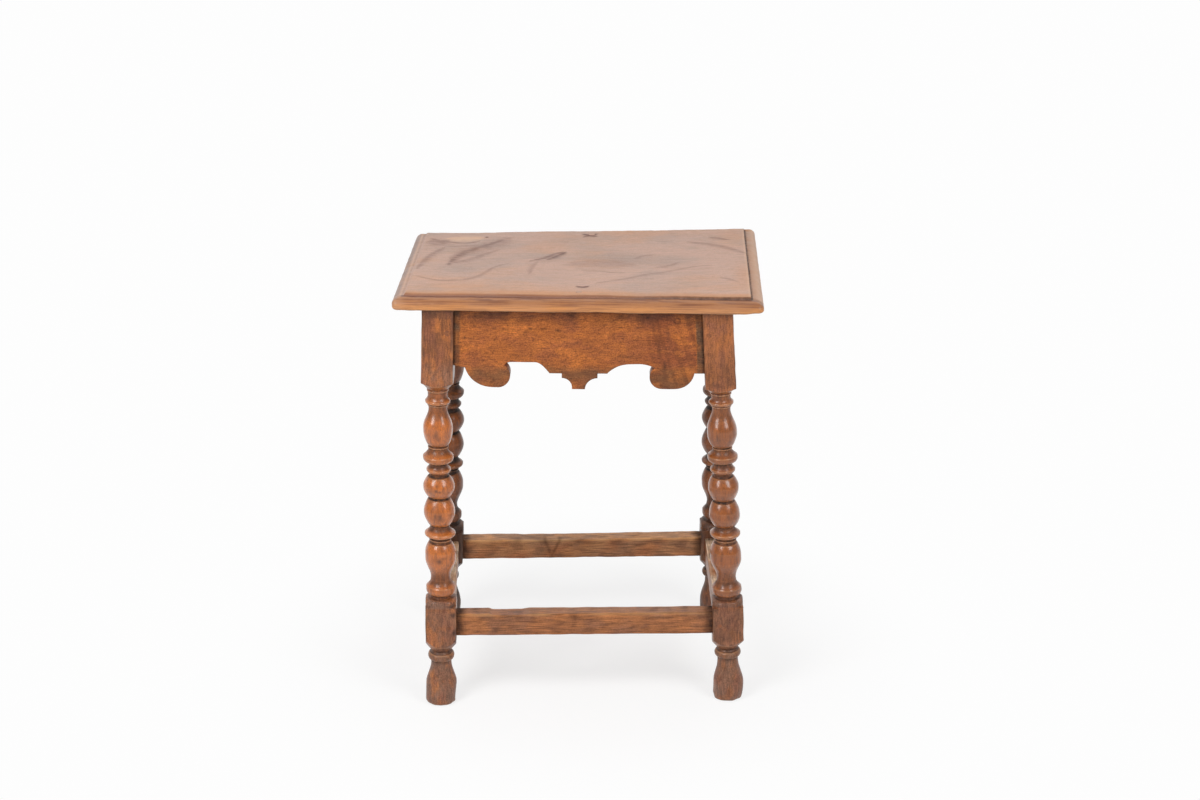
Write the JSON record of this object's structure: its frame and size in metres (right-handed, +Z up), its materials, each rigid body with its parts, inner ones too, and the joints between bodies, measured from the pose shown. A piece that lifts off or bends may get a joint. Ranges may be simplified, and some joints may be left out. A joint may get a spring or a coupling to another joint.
{
  "type": "joint stool",
  "caption": "Walnut joint stool with a moulded rectangular seat, splayed turned legs, scroll-cut aprons with pendants, and low stretchers, all mortised, tenoned and pegged.",
  "frame": {"origin": "on the floor, below the centre of the seat", "axes": "+Z up, the front faces -Y, +X to the right of someone who looks at the front"},
  "size_m": [0.455, 0.282, 0.5601],
  "materials": {
    "seat_walnut": "old wax polish over worn walnut",
    "leg_walnut": "glossy old wax polish, dark in the hollows",
    "apron_walnut": "satin old wax polish",
    "stretcher_walnut": "satin old wax polish, worn on top",
    "peg_wood": "dark end grain"
  },
  "bodies": {
    "root": {"seat": "seat_walnut", "leg_front_left": "leg_walnut", "leg_front_right": "leg_walnut", "leg_rear_left": "leg_walnut", "leg_rear_right": "leg_walnut", "apron_front": "apron_walnut", "apron_right": "apron_walnut", "apron_rear": "apron_walnut", "apron_left": "apron_walnut", "stretcher_front": "stretcher_walnut", "stretcher_right": "stretcher_walnut", "stretcher_rear": "stretcher_walnut", "stretcher_left": "stretcher_walnut", "apron_pegs_front": "peg_wood", "apron_pegs_right": "peg_wood", "apron_pegs_rear": "peg_wood", "apron_pegs_left": "peg_wood", "stretcher_pegs_front": "peg_wood", "stretcher_pegs_right": "peg_wood", "stretcher_pegs_rear": "peg_wood", "stretcher_pegs_left": "peg_wood", "seat_pegs": "peg_wood"}
  },
  "joints": []
}
